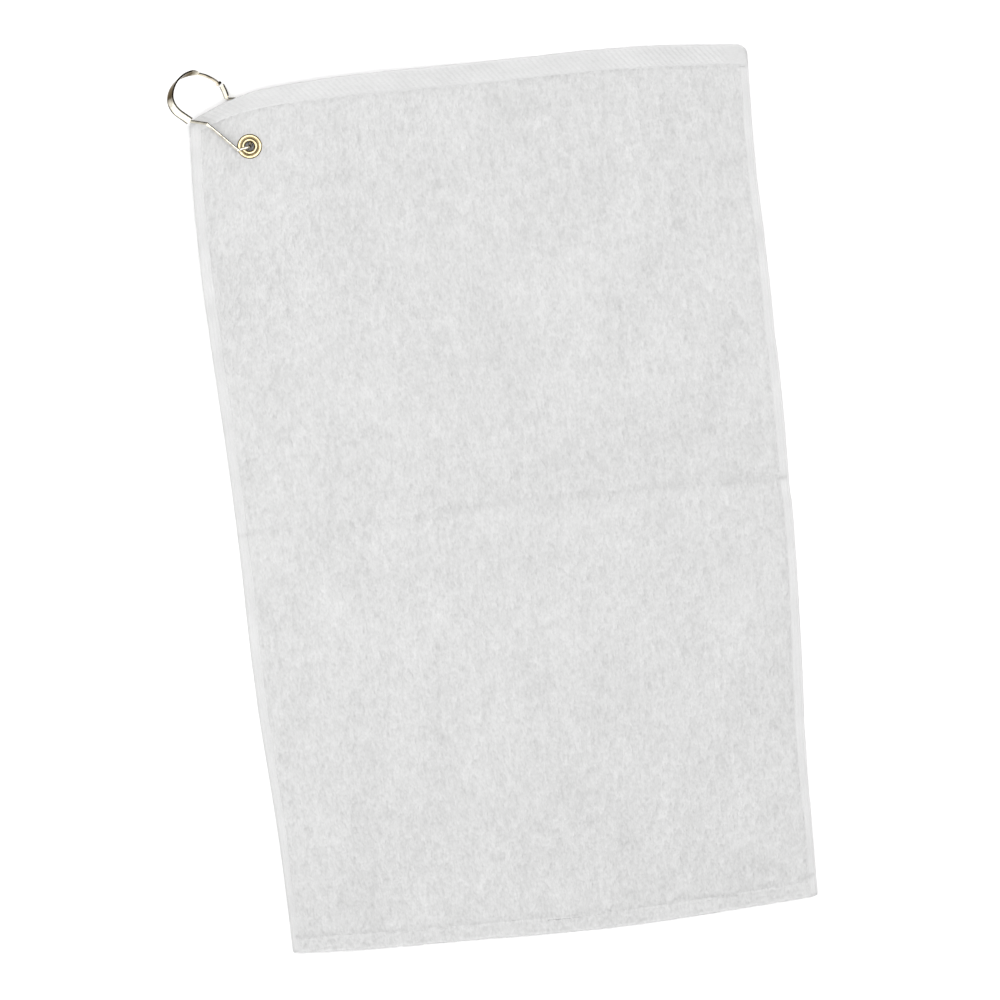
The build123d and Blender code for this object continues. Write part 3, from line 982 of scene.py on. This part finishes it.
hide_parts("terry_upper", "terry_lower")
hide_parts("top_hem")
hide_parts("bottom_hem")
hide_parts("left_hem_upper", "left_hem_lower")
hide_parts("right_hem_upper", "right_hem_lower")
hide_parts("top_seam_thread")
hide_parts("bottom_seam_thread")
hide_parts("left_seam_thread_upper", "left_seam_thread_lower")
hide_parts("right_seam_thread_upper", "right_seam_thread_lower")

# ---- floor, light and camera ----


def make_floor():
    """A plain pale floor, just under the cloth."""
    bpy.ops.mesh.primitive_plane_add(size=30, location=(0, 0, -0.1 * MM))
    floor = bpy.context.object
    floor.name = "floor"
    material, tree, shader = new_material("floor_pale")
    finish = {"Base Color": (0.97, 0.97, 0.97, 1), "Roughness": 0.9, "Specular IOR Level": 0.1}
    set_inputs(tree, shader, finish)
    floor.data.materials.append(material)


def soft_light(name, place, size, power):
    """A square area light aimed at the towel, out of sight of the camera."""
    light = bpy.data.lights.new(name, "AREA")
    light.shape = "SQUARE"
    light.size = size
    light.energy = power
    lamp = bpy.data.objects.new(name, light)
    lamp.location = place
    lamp.rotation_euler = Vector(place).to_track_quat("Z", "Y").to_euler()
    lamp.visible_camera = False
    bpy.context.scene.collection.objects.link(lamp)


def make_sky():
    """A white studio dome, darker near the horizon, with a dark screen for the clip's thin edges."""
    world = bpy.data.worlds.new("studio")
    world.use_nodes = True
    tree = world.node_tree
    direction = node(tree, "TexCoord", {}).outputs["Generated"]
    height = node(tree, "SeparateXYZ", {0: direction}).outputs["Z"]
    towards_screen = vector_maths(tree, "DOT_PRODUCT", direction, SCREEN_DIRECTION)
    dome = remap(tree, height, 0.16, 0.34, 0.4, 1.0)
    screen = remap(tree, towards_screen, 0.88, 0.94, 1.0, 0.3)
    white = tinted(tree, maths(tree, "MULTIPLY", dome, screen), (0, 0, 0), (1, 1, 1))
    set_inputs(tree, tree.nodes["Background"], {"Color": white, "Strength": 0.4})
    return world


def make_camera():
    """A camera straight above the towel, turned as the photograph is."""
    camera_data = bpy.data.cameras.new("camera")
    camera_data.lens = LENS
    camera_data.sensor_width = SENSOR_WIDTH
    camera_data.clip_end = 50.0
    camera = bpy.data.objects.new("camera", camera_data)
    camera.location = (*AIM, FRAME_WIDTH * LENS / SENSOR_WIDTH + PILE_TOP * MM)
    camera.rotation_euler = (0, 0, math.radians(CAMERA_TURN_DEG))
    bpy.context.scene.collection.objects.link(camera)
    return camera


make_floor()
soft_light("overhead_light", place=(-0.1, 0.05, 1.6), size=1.9, power=36.4)
soft_light("side_light", place=(1.1, 0.35, 1.0), size=0.8, power=4.3)
soft_light("left_light", place=(-0.55, 0.02, 0.35), size=0.3, power=0.6)
bpy.context.scene.view_settings.view_transform = "Standard"
bpy.context.scene.world = make_sky()
bpy.context.scene.camera = make_camera()
